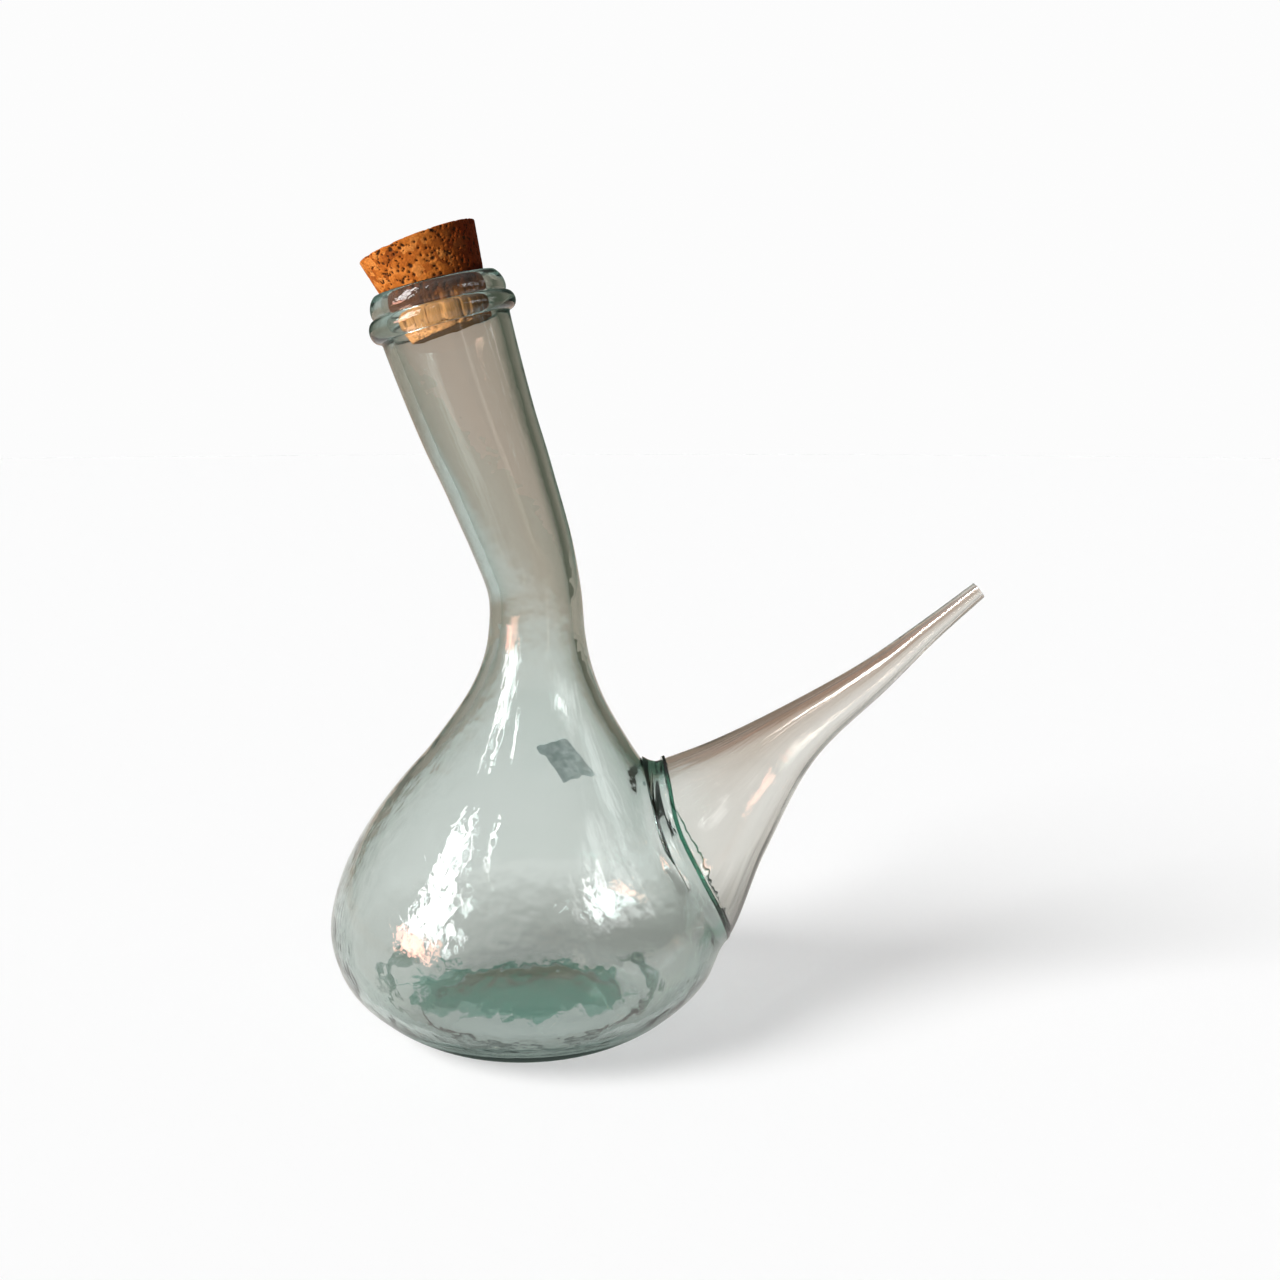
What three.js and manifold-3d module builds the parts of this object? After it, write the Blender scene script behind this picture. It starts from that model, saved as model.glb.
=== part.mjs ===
// A table cruet of the porron kind: a green blown-glass bottle whose neck leans back,
// a drawn colourless spout welded to its side, a tapered cork and a bare paper sticker.
// Millimetres, +Z up, +X towards the spout. The bottle is modelled about its own axis,
// and the finished cruet stands on Z = 0 with the middle of its box over the origin.
import * as THREE from 'three';
import { mergeVertices } from 'three/addons/utils/BufferGeometryUtils.js';
import Module from 'manifold-3d';

const wasm = await Module();
wasm.setup();

// Driving dimensions of the bottle
const FOOT_INNER_RADIUS = 29.5;
const FOOT_RADIUS = 35;
const PUNT_HEIGHT = 4.5;
const FLOOR_HEIGHT = 8.6;
const BULB_RADIUS = 61.3;
const BULB_WIDEST_HEIGHT = 32;
const WAIST_RADIUS = 14.1;
const WAIST_HEIGHT = 135;
const NECK_TOP_RADIUS = 19.4;
const NECK_TOP_HEIGHT = 217.5;
const BULB_WALL = 2.4;
const NECK_WALL = 3.4;

// The rolled mouth: a collar bead, a groove and a fire-polished lip
const COLLAR_RADIUS = 22;
const GROOVE_RADIUS = 19.8;
const LIP_RADIUS = 20.2;
const BORE_RADIUS = 16.7;
const COLLAR_DEPTH = 7.2;
const LIP_DEPTH = 6.4;

// Driving dimensions of the spout, its weld, the cork and the sticker
const SPOUT_DEPTH_RATIO = 0.94;
const SPOUT_ROOT_WALL = 2.4;
const SPOUT_TIP_WALL = 1.4;
const FILLET_RISE = 3;
const FILLET_TAIL = 4.6;
const WELD_THICKNESS = 1.2;
const WELD_PROUD = 0.2;
const WELD_LUMP = 1.2;
const CORK_TOP_RADIUS = 18;
const CORK_BOTTOM_RADIUS = 12.6;
const CORK_LENGTH = 27;
const CORK_CHAMFER = 0.6;
const CORK_LEAN = THREE.MathUtils.degToRad(21);
const CORK_SEAT = new THREE.Vector3(-20.7, 0, 213.5);
const STICKER_WIDTH = 12.8;
const STICKER_LENGTH = 19.2;
const STICKER_TURN = THREE.MathUtils.degToRad(-28);
const STICKER_PLACE = new THREE.Vector3(12, 39, 75);
const STICKER_THICKNESS = 0.3;
const GAP = 0.3;

// How finely the round forms are faceted
const BOTTLE_SIDES = 44;
const SPOUT_SIDES = 32;
const SPOUT_STATIONS = 22;
const CORK_SIDES = 40;

const vector2 = ([x, y]) => new THREE.Vector2(x, y);
const inPlane = ([x, z]) => new THREE.Vector3(x, 0, z);

// The straight bottle's outer wall, [radius, height along the axis], from the foot to the neck's top
const outerWall = new THREE.SplineCurve([
  [FOOT_RADIUS, 0], [40.8, 2.8], [48.3, 8], [57.5, 18],
  [BULB_RADIUS, BULB_WIDEST_HEIGHT],
  [58.7, 45], [50.7, 60], [40.7, 75], [29.5, 90], [20.2, 105], [15.6, 118],
  [WAIST_RADIUS, WAIST_HEIGHT],
  [15.1, 151], [16.4, 171], [17.7, 190],
  [NECK_TOP_RADIUS, NECK_TOP_HEIGHT],
].map(vector2));

// The line that the bottle's axis follows: upright through the bulb, then thrown back hot at the neck
const axisLine = new THREE.CatmullRomCurve3([
  [0, 0], [0, 25], [0, 50], [1.9, 84], [3.3, 121], [2.4, 138], [-7.3, 169],
  [-14, 187.2], [-22.4, 214.1], [-25.9, 228], [-28.6, 239],
].map(inPlane));
const axisLength = axisLine.getLength();

// Stations along the spout: where its upper and its lower edge lie in the plane of the neck, [x, z]
const spoutTop = [
  [30.5, 78], [40.5, 81.3], [56.4, 87.3], [76.1, 96.7], [104.5, 112.3], [122.8, 125], [138.9, 136.8],
];
const spoutBottom = [
  [50.6, 19.8], [60.4, 23.4], [74, 52.6], [89.8, 81.9], [112.6, 104.2], [128, 119.6], [142.2, 132.4],
];
const spoutTopRail = new THREE.CatmullRomCurve3(spoutTop.map(inPlane));
const spoutBottomRail = new THREE.CatmullRomCurve3(spoutBottom.map(inPlane));

// The end of the collar that the spout is welded to, as seen from the front, [x, z]
const seamLine = new THREE.CatmullRomCurve3([
  [40.6, 100], [41.9, 80.5], [43.6, 68], [50, 54], [57.4, 39], [61.5, 26.5], [63.5, 10],
].map(inPlane));

// Points along the outer wall, each moved out square to the wall by what is asked for at its height
function wallPoints(divisions, out = () => 0, from = 0, to = 1) {
  const points = [];
  for (let i = 0; i <= divisions; i++) {
    const t = from + (to - from) * i / divisions;
    const along = outerWall.getTangent(t);
    const point = outerWall.getPoint(t);
    points.push(point.addScaledVector(new THREE.Vector2(along.y, -along.x), out(point.y)));
  }
  return points;
}

// The blown wall is thinnest where the bulb swells most, and thickens up the neck
function wallAt(height) {
  const heights = [18, 40, 90, WAIST_HEIGHT];
  const walls = [BULB_WALL + 0.2, BULB_WALL, BULB_WALL + 0.4, NECK_WALL];
  const above = heights.findIndex((h) => h > height);
  if (above === 0) return walls[0];
  if (above < 0) return walls.at(-1);
  const share = (height - heights[above - 1]) / (heights[above] - heights[above - 1]);
  return THREE.MathUtils.lerp(walls[above - 1], walls[above], share);
}

// Revolves a profile about +Z
function revolve(profile, sides) {
  return new THREE.LatheGeometry(profile, sides).rotateX(Math.PI / 2);
}

// Bends a straight form along the bottle's axis line, as the glass is bent hot
function bendAlongAxis(geometry) {
  const place = geometry.getAttribute('position');
  const point = new THREE.Vector3();
  for (let i = 0; i < place.count; i++) {
    point.fromBufferAttribute(place, i);
    const share = THREE.MathUtils.clamp(point.z / axisLength, 0, 1);
    const centre = axisLine.getPointAt(share);
    const along = axisLine.getTangentAt(share);
    const below = Math.min(point.z, 0);
    place.setXYZ(i, centre.x + point.x * along.z, point.y, centre.z - point.x * along.x + below);
  }
  return geometry;
}

// A closed form through rings of points: capped at both ends, or joined end to end as a loop
function loft(rings, loop = false) {
  const sides = rings[0].length;
  const positions = rings.flat().flatMap((p) => p.toArray());
  const faces = [];
  const spans = loop ? rings.length : rings.length - 1;
  for (let i = 0; i < spans; i++) {
    const here = i * sides;
    const next = ((i + 1) % rings.length) * sides;
    for (let j = 0; j < sides; j++) {
      const k = (j + 1) % sides;
      faces.push(here + j, here + k, next + k, here + j, next + k, next + j);
    }
  }
  if (!loop) {
    for (const [ring, flip] of [[0, true], [rings.length - 1, false]]) {
      const centre = positions.length / 3;
      const middle = rings[ring].reduce((sum, p) => sum.add(p), new THREE.Vector3()).divideScalar(sides);
      positions.push(...middle.toArray());
      for (let j = 0; j < sides; j++) {
        const edge = [ring * sides + j, ring * sides + (j + 1) % sides];
        faces.push(...(flip ? edge.reverse() : edge), centre);
      }
    }
  }
  return new THREE.BufferGeometry()
    .setAttribute('position', new THREE.Float32BufferAttribute(positions, 3))
    .setIndex(faces);
}

// Solids for joining and cutting
function toSolid(geometry) {
  const bare = geometry.clone();
  bare.deleteAttribute('normal');
  bare.deleteAttribute('uv');
  const merged = mergeVertices(bare, 1e-3);
  return new wasm.Manifold(new wasm.Mesh({
    numProp: 3,
    vertProperties: new Float32Array(merged.getAttribute('position').array),
    triVerts: new Uint32Array(merged.index.array),
  }));
}

function toGeometry(solid) {
  const { numProp, vertProperties, triVerts } = solid.getMesh();
  const count = vertProperties.length / numProp;
  const positions = new Float32Array(count * 3);
  for (let i = 0; i < count; i++) {
    positions.set(vertProperties.subarray(i * numProp, i * numProp + 3), i * 3);
  }
  const geometry = new THREE.BufferGeometry()
    .setAttribute('position', new THREE.BufferAttribute(positions, 3))
    .setIndex(new THREE.BufferAttribute(new Uint32Array(triVerts), 1));
  geometry.computeVertexNormals();
  return geometry;
}

// The rolled mouth's outline, [radius, height above the neck's top], from the neck over the lip to the bore
function mouthPoints() {
  const lipFoot = COLLAR_DEPTH;
  const crest = COLLAR_DEPTH + LIP_DEPTH;
  const collar = new THREE.CubicBezierCurve(
    vector2([NECK_TOP_RADIUS + 0.2, 0.8]), vector2([COLLAR_RADIUS + 0.9, 1]),
    vector2([COLLAR_RADIUS + 0.9, lipFoot - 0.6]), vector2([GROOVE_RADIUS, lipFoot]));
  const lip = new THREE.CubicBezierCurve(
    vector2([GROOVE_RADIUS, lipFoot]), vector2([LIP_RADIUS + 0.4, lipFoot + 0.8]),
    vector2([LIP_RADIUS + 0.4, crest - 2]), vector2([(LIP_RADIUS + BORE_RADIUS) / 2 - 0.3, crest]));
  const polish = new THREE.QuadraticBezierCurve(
    vector2([(LIP_RADIUS + BORE_RADIUS) / 2 - 0.3, crest]), vector2([BORE_RADIUS, crest]),
    vector2([BORE_RADIUS, crest - 2.4]));
  return [...collar.getPoints(6), ...lip.getPoints(6).slice(1), ...polish.getPoints(3).slice(1)]
    .map((p) => new THREE.Vector2(p.x, p.y + NECK_TOP_HEIGHT));
}

// The blown bottle: foot ring, punt, bulb, neck and mouth in one piece of glass
function bottleSolid() {
  const punt = new THREE.QuadraticBezierCurve(
    vector2([0, PUNT_HEIGHT]), vector2([FOOT_INNER_RADIUS * 0.7, PUNT_HEIGHT]), vector2([FOOT_INNER_RADIUS, 0]));
  const innerWall = wallPoints(26, (height) => -wallAt(height), 22 / 150).reverse();
  const floor = new THREE.CatmullRomCurve3([
    [innerWall.at(-1).x, innerWall.at(-1).y], [42.5, 6.9], [36.5, 4.3], [31, 4.2], [24, 6.6],
    [12, FLOOR_HEIGHT - 0.3], [0, FLOOR_HEIGHT],
  ].map(inPlane)).getPoints(12).map((p) => vector2([p.x, p.z]));
  const profile = [
    ...punt.getPoints(5), ...wallPoints(27), ...mouthPoints(), ...innerWall, ...floor.slice(1),
  ];
  return toSolid(bendAlongAxis(revolve(profile, BOTTLE_SIDES)));
}

// The bulb and lower neck as a full form, grown by a distance, to seat other pieces on
function bulbSolid(grow) {
  const side = wallPoints(26, () => grow, 0, 12 / 15);
  const profile = [vector2([0, side[0].y]), ...side, vector2([0, side.at(-1).y])];
  return toSolid(bendAlongAxis(revolve(profile, BOTTLE_SIDES)));
}

// One ring of the spout at a share of its length, drawn in by a wall: an upright ellipse between its two edges
function spoutRing(share, inset) {
  const top = spoutTopRail.getPoint(share);
  const bottom = spoutBottomRail.getPoint(share);
  const middle = top.clone().add(bottom).multiplyScalar(0.5);
  const half = top.clone().sub(bottom).multiplyScalar(0.5);
  const reach = half.length();
  half.normalize();
  return Array.from({ length: SPOUT_SIDES }, (_, j) => {
    const turn = 2 * Math.PI * j / SPOUT_SIDES;
    const deep = reach * SPOUT_DEPTH_RATIO - inset(turn);
    const sideways = new THREE.Vector3(0, -deep * Math.sin(turn), 0);
    return middle.clone().addScaledVector(half, (reach - inset(turn)) * Math.cos(turn)).add(sideways);
  });
}

const shares = (count, from, to) => Array.from({ length: count + 1 }, (_, i) => from + (to - from) * i / count);
const spoutWall = (share) => THREE.MathUtils.lerp(SPOUT_ROOT_WALL, SPOUT_TIP_WALL, Math.min(1, 1.6 * share));

// The spout's outside as a full form, grown by a distance that may change round it
function spoutForm(grow = () => 0) {
  return toSolid(loft(shares(SPOUT_STATIONS, 0, 1).map((t) => spoutRing(t, (turn) => -grow(turn)))));
}

// The spout's bore, running on a little past the tip so that it opens there
function spoutBore() {
  const rings = shares(SPOUT_STATIONS, 0, 1).map((t) => spoutRing(t, () => spoutWall(t)));
  const [last, before] = [rings.at(-1), rings.at(-2)];
  rings.push(last.map((p, j) => p.clone().addScaledVector(p.clone().sub(before[j]).normalize(), 2)));
  const inward = new THREE.Vector3(-18, 0, -6);
  rings.unshift(rings[0].map((p) => p.clone().add(inward)));
  return toSolid(loft(rings));
}

// Everything left of the seam, moved along the spout by a distance
function leftOfSeam(shift) {
  const step = new THREE.Vector3(0.94, 0, 0.35).multiplyScalar(shift);
  const line = seamLine.getPoints(24).map((p) => p.add(step));
  const outline = [...line.map((p) => [p.x, p.z]), [-30, line.at(-1).z], [-30, line[0].z]];
  const slab = new THREE.ExtrudeGeometry(new THREE.Shape(outline.map(vector2)), { depth: 140, bevelEnabled: false });
  return toSolid(slab.translate(0, 0, -70).rotateX(Math.PI / 2));
}

// How far the glass gathers at the top and the bottom of the spout's root
function lump(turn) {
  const top = Math.min(turn, 2 * Math.PI - turn) / 0.22;
  const bottom = (turn - Math.PI) / 0.2;
  return Math.exp(-top * top) + 0.8 * Math.exp(-bottom * bottom);
}

// The hollow fillet round the collar's foot, swept along the line where the spout's outside meets the bulb
function filletSolid() {
  const wall = wallPoints(400, () => 0, 0, 12 / 15);
  const tangents = shares(400, 0, 12 / 15).map((t) => outerWall.getTangent(t));
  const level = (p) => wall.reduce((best, w, i) => (Math.abs(w.y - p.z) < Math.abs(wall[best].y - p.z) ? i : best), 0);
  const fromAxis = (p) => new THREE.Vector3(p.x - axisLine.getPointAt(p.z / axisLength).x, p.y, 0);
  const rings = shares(300, 0, 0.35).map((t) => spoutRing(t, () => 0));
  const starts = rings[0].map((_, j) => rings.findIndex((ring) => fromAxis(ring[j]).length() > wall[level(ring[j])].x));
  const seam = starts.map((i, j) => rings[i][j]);
  const heart = seam.reduce((sum, p) => sum.add(p), new THREE.Vector3()).divideScalar(seam.length);
  const sections = seam.map((p, j) => {
    const outward = (v) => v.normalize().multiplyScalar(Math.sign(v.dot(p.clone().sub(heart))));
    const along = seam[(j + 1) % seam.length].clone().sub(seam.at(j - 1));
    const up = rings[starts[j] + 3][j].clone().sub(p).normalize();
    const slope = tangents[level(p)];
    const offBulb = fromAxis(p).normalize().multiplyScalar(slope.y).add(new THREE.Vector3(0, 0, -slope.x));
    const offSpout = outward(along.clone().cross(up));
    const downBulb = outward(along.clone().cross(offBulb));
    const start = p.clone().addScaledVector(up, FILLET_RISE).addScaledVector(offSpout, -0.15);
    const end = p.clone().addScaledVector(downBulb, FILLET_TAIL).addScaledVector(offBulb, -0.35);
    const out = offBulb.clone().add(offSpout);
    const hollow = new THREE.QuadraticBezierCurve3(start, p.clone().addScaledVector(out, 0.25), end);
    return [...hollow.getPoints(4), p.clone().addScaledVector(out, -1.2)];
  });
  const solid = toSolid(loft(sections, true));
  return solid.volume() > 0 ? solid : toSolid(loft(sections.reverse(), true));
}

// The short collar drawn out of the bulb to take the spout
function collarSolid() {
  return spoutForm().add(filletSolid()).intersect(leftOfSeam(0)).subtract(bulbSolid(-BULB_WALL / 2));
}

// The thin ring of darker glass between collar and spout, standing proud where the glass gathered
function weldSolid() {
  return spoutForm((turn) => WELD_PROUD + WELD_LUMP * lump(turn))
    .intersect(leftOfSeam(GAP + WELD_THICKNESS)).subtract(leftOfSeam(GAP)).subtract(spoutBore());
}

// The drawn spout, open at the tip and trimmed at its root to meet the weld
function spoutSolid() {
  return spoutForm().subtract(spoutBore()).subtract(leftOfSeam(2 * GAP + WELD_THICKNESS));
}

// The tapered cork, its edges broken by a small chamfer, standing on its narrow end
function corkGeometry() {
  const slope = (CORK_TOP_RADIUS - CORK_BOTTOM_RADIUS) / CORK_LENGTH;
  return revolve([
    [0, 0],
    [CORK_BOTTOM_RADIUS - CORK_CHAMFER, 0],
    [CORK_BOTTOM_RADIUS + slope * CORK_CHAMFER, CORK_CHAMFER],
    [CORK_TOP_RADIUS - slope * CORK_CHAMFER, CORK_LENGTH - CORK_CHAMFER],
    [CORK_TOP_RADIUS - CORK_CHAMFER, CORK_LENGTH],
    [0, CORK_LENGTH],
  ].map(vector2), CORK_SIDES);
}

// The bare sticker: a round-cornered patch that follows the back of the bulb
function stickerSolid() {
  const [w, l, corner] = [STICKER_WIDTH / 2, STICKER_LENGTH / 2, 1.5];
  const outline = new THREE.Shape()
    .moveTo(-w + corner, -l)
    .lineTo(w - corner, -l).quadraticCurveTo(w, -l, w, -l + corner)
    .lineTo(w, l - corner).quadraticCurveTo(w, l, w - corner, l)
    .lineTo(-w + corner, l).quadraticCurveTo(-w, l, -w, l - corner)
    .lineTo(-w, -l + corner).quadraticCurveTo(-w, -l, -w + corner, -l);
  const reach = 16;
  const cutter = new THREE.ExtrudeGeometry(outline, { depth: 2 * reach, bevelEnabled: false, curveSegments: 3 })
    .translate(0, 0, -reach)
    .rotateZ(STICKER_TURN)
    .rotateX(-Math.PI / 4)
    .rotateZ(-Math.atan2(STICKER_PLACE.x, STICKER_PLACE.y))
    .translate(...STICKER_PLACE.toArray());
  return bulbSolid(GAP + STICKER_THICKNESS).subtract(bulbSolid(GAP)).intersect(toSolid(cutter));
}

// Finishes
const greenGlass = new THREE.MeshStandardMaterial({
  color: 0xa9bfb4, roughness: 0.05, metalness: 0, transparent: true, opacity: 0.45,
});
const weldGlass = new THREE.MeshStandardMaterial({
  color: 0x4f8a72, roughness: 0.08, metalness: 0, transparent: true, opacity: 0.7,
});
const clearGlass = new THREE.MeshStandardMaterial({
  color: 0xd6d3cc, roughness: 0.04, metalness: 0, transparent: true, opacity: 0.35,
});
const cork = new THREE.MeshStandardMaterial({ color: 0xb96a2c, roughness: 0.85, metalness: 0 });
const paper = new THREE.MeshStandardMaterial({ color: 0x8a9894, roughness: 0.8, metalness: 0 });

function piece(name, geometry, material) {
  const mesh = new THREE.Mesh(geometry, material);
  mesh.name = name;
  return mesh;
}

// The assembly, about the bottle's own axis
const bottle = new THREE.Group();
bottle.add(
  piece('glass_body', toGeometry(bottleSolid().add(collarSolid()).subtract(spoutBore())), greenGlass),
  piece('spout', toGeometry(spoutSolid()), clearGlass),
  piece('spout_weld', toGeometry(weldSolid()), weldGlass),
  piece('paper_sticker', toGeometry(stickerSolid()), paper),
);
const stopper = piece('cork_stopper', corkGeometry(), cork);
stopper.position.copy(CORK_SEAT);
stopper.rotation.y = -CORK_LEAN;
bottle.add(stopper);

const cruet = new THREE.Group();
cruet.add(bottle);
const box = new THREE.Box3().setFromObject(cruet, true);
bottle.position.set(-(box.min.x + box.max.x) / 2, -(box.min.y + box.max.y) / 2, -box.min.z);

export default cruet;
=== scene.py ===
# %% [markdown]
# # A corked glass cruet
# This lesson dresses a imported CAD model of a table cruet: a blown bottle of pale green glass whose neck was
# thrown back while hot, a drawn colourless spout fused to its side by a ring of darker glass, a tapered cork
# and the bare remains of a paper sticker. Everything is in metres, in the frame of the CAD model: +Z is up and
# +X runs from the bulb towards the spout.

# %% The frame
import math

import bpy
import numpy as np
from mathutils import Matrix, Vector, kdtree


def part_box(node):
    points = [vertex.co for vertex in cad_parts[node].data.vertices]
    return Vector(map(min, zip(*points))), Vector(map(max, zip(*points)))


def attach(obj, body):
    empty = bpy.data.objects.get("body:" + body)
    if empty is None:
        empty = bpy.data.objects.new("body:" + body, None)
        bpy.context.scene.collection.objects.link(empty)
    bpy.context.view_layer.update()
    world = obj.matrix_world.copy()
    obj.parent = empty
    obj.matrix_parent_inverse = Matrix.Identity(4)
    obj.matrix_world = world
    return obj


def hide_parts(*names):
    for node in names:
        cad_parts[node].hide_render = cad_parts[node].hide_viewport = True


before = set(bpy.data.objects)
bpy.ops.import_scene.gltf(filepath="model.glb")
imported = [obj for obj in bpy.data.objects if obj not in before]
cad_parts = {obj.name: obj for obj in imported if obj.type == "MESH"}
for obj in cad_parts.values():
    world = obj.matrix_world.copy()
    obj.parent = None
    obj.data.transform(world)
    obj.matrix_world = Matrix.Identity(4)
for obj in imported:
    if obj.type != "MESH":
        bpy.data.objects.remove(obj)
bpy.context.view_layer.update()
MM = 0.001

# %% [markdown]
# ## Where the bottle's axis stands
# The CAD model's origin is under the middle of its box, so the bottle's own axis lies to one side. The bulb is
# round, which lets its place be read from the box of its node: half the bulb's depth in from its left side.

# %% The bottle's axis
body_low, body_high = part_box("glass_body")
AXIS_X = body_low.x + (body_high.y - body_low.y) / 2
print("bottle axis at x =", round(AXIS_X, 5))

# %% [markdown]
# ## The camera
# The photograph was taken from less than half a metre away and from a little below the cork's height, so near
# things look larger and the base shows as a wide ellipse. A camera that close has to stand in the same place, or
# no other measure will agree. Its place and lens were fitted to the outline of the bulb.

# %% The camera
CAMERA_PLACE = Vector((AXIS_X + 1.7 * MM, -445 * MM, 190 * MM))
CAMERA_AIM = Vector((AXIS_X + 34.9 * MM, 0, 120.2 * MM))
FOCAL_PIXELS = 1470
FRAME_PIXELS = 1280

lens = bpy.data.cameras.new("camera")
lens.sensor_width = 36
lens.lens = FOCAL_PIXELS / FRAME_PIXELS * lens.sensor_width
lens.clip_start = 0.01
camera = bpy.data.objects.new("camera", lens)
bpy.context.scene.collection.objects.link(camera)
camera.location = CAMERA_PLACE
camera.rotation_mode = "QUATERNION"
camera.rotation_quaternion = (CAMERA_AIM - CAMERA_PLACE).to_track_quat("-Z", "Y")
bpy.context.scene.camera = camera
print("lens", round(lens.lens, 2), "mm")

# %% [markdown]
# ## Smooth lines
# A glassblower's outline has no corners, so the bottle's profile, its bent axis and the two edges of the spout
# are each a few measured points with a smooth line through them. The line is a chain of cubic curves, weighted
# by the distance between points, which keeps it from overshooting where the points stand close. Small roundings,
# such as the lip, are curves of another kind, which only lean towards their middle points.


# %% A smooth line through points
def smooth_line(points, count):
    points = np.array(points, float)
    points = np.vstack([2 * points[0] - points[1], points, 2 * points[-1] - points[-2]])
    spans = len(points) - 3
    line = []
    for u in np.linspace(0, spans, count + 1):
        i = min(int(u), spans - 1)
        p0, p1, p2, p3 = points[i : i + 4]
        d0, d1, d2 = (math.sqrt(np.linalg.norm(b - a)) for a, b in ((p0, p1), (p1, p2), (p2, p3)))
        leave = ((p1 - p0) / d0 - (p2 - p0) / (d0 + d1) + (p2 - p1) / d1) * d1
        arrive = ((p2 - p1) / d1 - (p3 - p1) / (d1 + d2) + (p3 - p2) / d2) * d1
        t = u - i
        line.append(
            (2 * t**3 - 3 * t**2 + 1) * p1 + (t**3 - 2 * t**2 + t) * leave
            + (3 * t**2 - 2 * t**3) * p2 + (t**3 - t**2) * arrive
        )
    return np.array(line)


def rounding(points, count):
    t = np.linspace(0, 1, count + 1)[:, None]
    points = np.array(points, float)
    n = len(points) - 1
    return sum(math.comb(n, k) * (1 - t) ** (n - k) * t**k * points[k] for k in range(n + 1))


bow = [(0, 0), (1, 1), (2, 0)]
print("half way along a bow:", smooth_line(bow, 2)[1], "smooth,", rounding(bow, 2)[1], "rounded")

# %% [markdown]
# ## The bottle's outline
# A bottle is thought of straight first, as [radius, height] from the foot ring to the top of the neck. The wall
# is 2.4 to 3.4 mm thick, the thin bottom follows a shallow push-up, and the mouth is rolled into a collar bead
# and a fire-polished lip. These are the CAD model's own figures, sampled more finely. A second outline has the
# outer wall in place of the inner one: it says which point of the outside lies opposite each point inside.

# %% The outline
WALL_STEPS = 150
BULB_STEPS = 121
HEEL_STEP = 22
NECK_TOP = 217.5
SLIM = 0.997


def square_to(line):
    along = np.gradient(line, axis=0)
    along /= np.linalg.norm(along, axis=1)[:, None]
    return np.stack([along[:, 1], -along[:, 0]], axis=1)


outer_wall = MM * smooth_line([
    (35, 0), (40.8, 2.8), (48.3, 8), (57.5, 18), (61.3, 32), (58.7, 45), (50.7, 60), (40.7, 75),
    (29.5, 90), (20.2, 105), (15.6, 118), (14.1, 135), (15.1, 151), (16.4, 171), (17.7, 190), (19.4, 217.5),
], WALL_STEPS)
outer_wall[:, 0] *= SLIM
outer_normal = square_to(outer_wall)
wall = MM * np.interp(outer_wall[:, 1], np.array([18, 40, 90, 135]) * MM, [2.6, 2.4, 2.8, 3.4])
inner_wall = (outer_wall - wall[:, None] * outer_normal)[HEEL_STEP:][::-1]
heel = inner_wall[-1]

punt = MM * rounding([(0, 4.5), (20.6, 4.5), (29.5, 0)], 14)
collar = MM * (rounding([(19.6, 0.8), (22.9, 1), (22.9, 6.6), (19.8, 7.2)], 14) + (0, NECK_TOP))
lip = MM * (rounding([(19.8, 7.2), (20.6, 8), (20.6, 11.6), (18.15, 13.6)], 14) + (0, NECK_TOP))
polish = MM * (rounding([(18.15, 13.6), (16.7, 13.6), (16.7, 11.2)], 8) + (0, NECK_TOP))
floor_points = MM * np.array([(42.5, 6.9), (36.5, 4.3), (31, 4.2), (24, 6.6), (12, 8.3), (0, 8.6)])
floor_line = smooth_line([heel, *floor_points], 42)
foot_to_mouth = [punt, outer_wall, collar, lip[1:], polish[1:]]
bottle_outline = np.vstack([*foot_to_mouth, inner_wall, floor_line[1:]])
skin_outline = np.vstack([*foot_to_mouth, outer_wall[HEEL_STEP:][::-1], floor_line[1:]])
print("outline of", len(bottle_outline), "points, heel at", heel)

# %% [markdown]
# ## Outline to bottle
# On the bench a bottle is a gather of glass spun on an iron, and in edit mode it is the same: one vertex is
# extruded along the outline, and the spin operator turns that line about the axis. The doubles on the axis and
# at the seam are merged, and only then are the normals recalculated, because a spun shape may come out inside
# out.

# %% Drawing and spinning the outline
MERGE = 1e-6
BODY_SIDES = 128


def fresh_start():
    if bpy.context.object and bpy.context.object.mode != "OBJECT":
        bpy.ops.object.mode_set(mode="OBJECT")
    bpy.ops.object.select_all(action="DESELECT")


def close_up():
    bpy.ops.mesh.select_all(action="SELECT")
    bpy.ops.mesh.remove_doubles(threshold=MERGE)
    bpy.ops.mesh.normals_make_consistent(inside=False)
    bpy.ops.object.mode_set(mode="OBJECT")


def spun(name, outline, sides):
    fresh_start()
    bpy.ops.mesh.primitive_plane_add(size=1 * MM)
    piece = bpy.context.object
    piece.name = name
    bpy.ops.object.mode_set(mode="EDIT")
    bpy.ops.mesh.select_all(action="SELECT")
    bpy.ops.mesh.merge(type="CENTER")
    bpy.ops.transform.translate(value=(outline[0][0], 0, outline[0][1]))
    for step in np.diff(outline, axis=0):
        bpy.ops.mesh.extrude_vertices_move(TRANSFORM_OT_translate={"value": (step[0], 0, step[1])})
    bpy.ops.mesh.select_all(action="SELECT")
    bpy.ops.mesh.spin(steps=sides, angle=2 * math.pi, center=(0, 0, 0), axis=(0, 0, 1))
    close_up()
    return piece


def report(piece):
    print(piece.name, len(piece.data.vertices), "vertices,", len(piece.data.polygons), "faces")


body = spun("glass_body_visual", bottle_outline, BODY_SIDES)
report(body)

# %% [markdown]
# ## Bending the neck
# The neck leans back because the hot bottle was bent after blowing. The bend modifier of a modelling program
# turns about one centre, and this neck has two curves, so each ring of the straight bottle is set square to a
# drawn axis line. The straight places are kept: the finish needs them later.

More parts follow.
